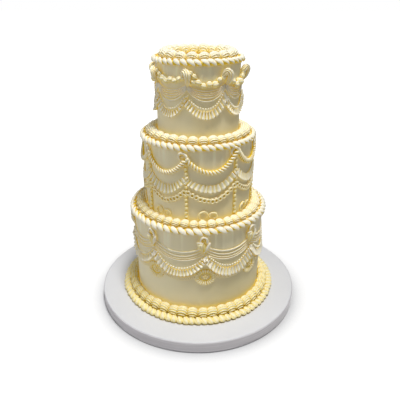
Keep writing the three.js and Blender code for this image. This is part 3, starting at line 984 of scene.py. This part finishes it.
def dress_bottom(tier):
    """The bottom wall: strings hung from fleurs over a ruffle with pearls along its head, and below
    it a lace and the pendants."""
    piped("fleurs", fleurs(tier), *tier.ornaments)
    hung = ((153, 137.9, 1.35), (148, 130.2, 1.05), (142, 124.5, 0.8), (137, 120.5, 1.0))
    strings = [bay_lines(tier, (high, sag, 2.1), 1.3, half, tint=-1.0, rows=36) for high, sag, half in hung]
    piped("bottom_strings", join(*strings))
    ends, low = by_bay((137, 137), {1: (138, 135), 2: (141, 138)}), by_bay(106, {2: 107.5})
    head = (ends - 3.5, low - 5, 2.1)
    hem = (by_bay((116, 116), {1: (116, 121), 2: (119, 112)}), by_bay(88.6, {1: 89.4, 2: 87}), 2.3)
    frill = ruffle(tier, 18, head, hem, flare=8.0, lean=12.0)
    piped("bottom_ruffle", frill, "bottom_ruffle_swags")
    line = raised((ends, low, 2.05), -0.6)
    pearls = swag_beads(tier, line, 20, off=4.0, size=1.8, reach=(0.05, 0.95), vary=0.06)
    piped("bottom_pearls", pearls)
    piped("bottom_lace", bottom_lace(tier, 20), "bottom_lace_and_pendants")
    piped("pendants", pendants(tier, 86.5, 19.5, 17.5), "bottom_lace_and_pendants")


# ---- the cake ----

BOTTOM = Tier("bottom", "bottom_fleur")
MIDDLE = Tier("middle", "middle_rosette")
TOP = Tier("top", "top_puff")

make_board()
make_ribbon()
for tier in (BOTTOM, MIDDLE, TOP):
    make_tier(tier)

base_shells = shell_ring(46, 137.5, BOTTOM.base, 10.8, 23.5, depth=0.3, tint=0.1)
border("base_shells", "base_shell_border", 0.48, -0.2, base_shells)
base_strokes = stroke_ring(84, 146.5, 157.4, BOTTOM.base, 8.0, 8.6, tint=0.2)
border("base_strokes", "base_stroke_border", 0.48, -0.15, base_strokes)
bottom_shells = shell_ring(44, 113.2, BOTTOM.crest, 11.4, 14.0, depth=0.3, tint=-0.1)
border("bottom_shells", "bottom_ledge_shells", 0.1, -0.75, bottom_shells)
middle_shells = shell_ring(32, 87.0, MIDDLE.crest, 11.2, 16.2, depth=0.28, tint=-0.15)
piped("middle_shells", middle_shells, "middle_ledge_shells")
crown = shell_ring(20, 60.0, TOP.crest, 10.4, 17.4, depth=0.21, tint=-0.25, rows=26, behind=0.09)
piped("crown", crown, "crown_shells")
piped("bottom_rope", rope_ring(BOTTOM, 58), "bottom_rim_rope")
piped("middle_rope", rope_ring(MIDDLE, 54), "middle_rim_rope")
piped("top_rope", rope_ring(TOP, 41), "top_rim_rope")

dress_top(TOP)
dress_middle(MIDDLE)
dress_bottom(BOTTOM)


# ---- studio ----


def make_floor(near, far, shadow):
    """A plain white table top, far larger than the board. It is lit from within for the camera
    alone, near or far from the board, but for a shadow where the board's edge closes it in."""
    mesh = bpy.data.meshes.new("floor")
    reach = 40.0
    corners = [(-reach, -reach, 0), (reach, -reach, 0), (reach, reach, 0), (-reach, reach, 0)]
    mesh.from_pydata(corners, [], [(0, 1, 2, 3)])
    settings = {"Base Color": (0.54, 0.54, 0.54, 1), "Roughness": 0.9, "Specular IOR Level": 0.0}
    material, tree, shader, place = new_material("table_white", settings)
    seen = node(tree, "LightPath").outputs["Is Camera Ray"]
    away = node(tree, "VectorMath", {0: place}, operation="LENGTH").outputs["Value"]
    glow = {"Value": away, "From Min": 0.3, "From Max": 1.6, "To Min": near, "To Max": far}
    glow = node(tree, "MapRange", glow).outputs["Result"]
    open_ = node(tree, "AmbientOcclusion", {"Distance": 0.045}, samples=16).outputs["AO"]
    hidden = maths(tree, "MULTIPLY", maths(tree, "SUBTRACT", 1.0, open_), shadow)
    glow = maths(tree, "SUBTRACT", glow, hidden, clamp=True)
    shader.inputs["Emission Color"].default_value = (1, 1, 1, 1)
    tree.links.new(maths(tree, "MULTIPLY", seen, glow), shader.inputs["Emission Strength"])
    mesh.materials.append(material)
    floor = put("floor", mesh)


def soft_light(name, place, target, size, power, colour=(1, 1, 1)):
    """A square soft box at a place, facing a target, in metres and watts."""
    light = bpy.data.lights.new(name, "AREA")
    light.size, light.energy, light.color = size, power, colour
    aim = np.array(target) - np.array(place)
    flat = math.hypot(aim[0], aim[1])
    box = put(name, light)
    box.location = place
    box.rotation_euler = (math.atan2(flat, -aim[2]), 0, math.atan2(-aim[0], aim[1]))


def make_camera(distance, height, tilt):
    """The camera: in front, a little above the cake and tilted down to it, in metres and radians."""
    camera = bpy.data.cameras.new("camera")
    camera.lens, camera.sensor_width, camera.shift_x = 37.81, 36.0, 0.0047
    view = put("camera", camera)
    view.location = (0, -distance, height)
    view.rotation_euler = (math.pi / 2 - tilt, 0, 0)
    bpy.context.scene.camera = view


def make_world(light, seen):
    """Even light from all round, and the white that the camera sees behind the table."""
    world = bpy.data.worlds.new("studio")
    world.use_nodes = True
    tree = world.node_tree
    path = node(tree, "LightPath").outputs["Is Camera Ray"]
    strength = node(tree, "MapRange", {"Value": path, "To Min": light, "To Max": seen})
    tree.links.new(strength.outputs["Result"], tree.nodes["Background"].inputs["Strength"])
    tree.nodes["Background"].inputs["Color"].default_value = (1, 1, 1, 1)
    bpy.context.scene.world = world


make_floor(near=0.5, far=1.0, shadow=0.95)
make_world(light=0.18, seen=1.0)
soft_light("overhead", (0.5, -0.74, 3.95), (0, 0, 0.25), 0.75, 136)
soft_light("left_fill", (-1.85, -0.6, 1.45), (0, 0, 0.2), 1.4, 9, (0.98, 0.99, 1.05))
make_camera(distance=0.7708, height=0.5679, tilt=0.43595)
bpy.context.scene.view_settings.view_transform = "Standard"
